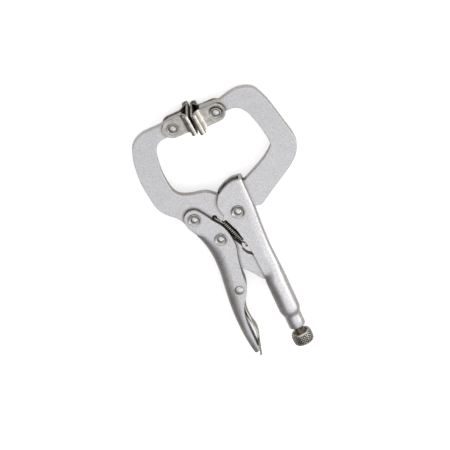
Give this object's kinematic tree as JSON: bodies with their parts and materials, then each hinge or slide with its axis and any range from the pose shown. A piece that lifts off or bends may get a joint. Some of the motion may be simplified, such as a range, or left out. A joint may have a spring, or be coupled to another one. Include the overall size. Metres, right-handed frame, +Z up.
{
  "type": "locking c-clamp pliers",
  "caption": "Locking C-clamp pliers: two flat C-shaped jaws with folded swivel pads, folded sheet handles, a toggle link, a release lever and a knurled adjusting screw.",
  "frame": {"origin": "Middle of the tool across and along, on the plane it lies on when it lies on its side.", "axes": "+X from the movable jaw to the fixed jaw, +Y from the knob to the jaws, +Z up through the thickness."},
  "size_m": [0.0943, 0.1704, 0.0208],
  "materials": {
    "satin_nickel": "satin nickel plate with a fine blasted grain",
    "rivet_nickel": "satin nickel plate, domed and slightly polished",
    "bright_nickel": "brighter nickel plate with dull folds",
    "knurled_nickel": "nickel plate on a diamond knurl",
    "screw_steel": "oiled plain steel thread",
    "black_spring_steel": "blackened spring wire",
    "weld_metal": "plated weld bead"
  },
  "bodies": {
    "fixed_frame": {"fixed_handle": "satin_nickel", "fixed_jaw": "satin_nickel", "jaw_weld_beads": "weld_metal", "main_pivot_rivet": "rivet_nickel", "fixed_pad_rivet": "rivet_nickel", "tension_spring": "black_spring_steel"},
    "movable_jaw": {"movable_jaw": "satin_nickel", "lever_pivot_rivet": "rivet_nickel", "movable_pad_rivet": "rivet_nickel"},
    "lever": {"movable_handle": "satin_nickel", "toggle_rivet": "rivet_nickel", "release_rivet": "rivet_nickel"},
    "toggle_link": {"toggle_link": "satin_nickel"},
    "release_lever": {"release_lever": "satin_nickel"},
    "fixed_pad": {"fixed_pad": "bright_nickel"},
    "movable_pad": {"movable_pad": "bright_nickel"},
    "adjusting_screw": {"adjusting_screw": "screw_steel"},
    "screw_knob": {"screw_knob": "knurled_nickel"}
  },
  "joints": [
    {"name": "jaw_hinge", "type": "hinge", "parent": "fixed_frame", "child": "movable_jaw", "pos_m": [-0.00135, 0.01175, 0.0104], "axis": [0, 0, 1], "range_deg": [0, 35], "deforming": ["tension_spring"]},
    {"name": "lever_hinge", "type": "hinge", "parent": "movable_jaw", "child": "lever", "pos_m": [-0.02705, 0.01655, 0.0104], "axis": [0, 0, 1], "range_deg": [-89, 0]},
    {"name": "link_hinge", "type": "hinge", "parent": "lever", "child": "toggle_link", "pos_m": [-0.01755, -0.0012, 0.0104], "axis": [0, 0, 1], "range_deg": [0, 87]},
    {"name": "release_hinge", "type": "hinge", "parent": "lever", "child": "release_lever", "pos_m": [-0.02025, -0.03645, 0.0104], "axis": [0, 0, 1], "range_deg": [-1.2, 0]},
    {"name": "fixed_pad_swivel", "type": "hinge", "parent": "fixed_frame", "child": "fixed_pad", "pos_m": [0.01105, 0.07655, 0.0104], "axis": [0, 0, 1], "range_deg": [-7, 7]},
    {"name": "movable_pad_swivel", "type": "hinge", "parent": "movable_jaw", "child": "movable_pad", "pos_m": [-0.0161, 0.07635, 0.0104], "axis": [0, 0, 1], "range_deg": [-7, 7]},
    {"name": "screw_slide", "type": "slide", "parent": "fixed_frame", "child": "adjusting_screw", "axis": [0, -1, 0], "range_m": [0, 0.012]},
    {"name": "knob_turn", "type": "hinge", "parent": "adjusting_screw", "child": "screw_knob", "pos_m": [0.00185, -0.08025, 0.0104], "axis": [0, -1, 0], "range_deg": [0, 4321]}
  ],
  "couplings": [
    {"joint": "lever_hinge", "follows": "jaw_hinge", "ratio": -2.536},
    {"joint": "link_hinge", "follows": "jaw_hinge", "ratio": 2.462},
    {"joint": "knob_turn", "follows": "screw_slide", "rad_per_m": 6283.2}
  ]
}
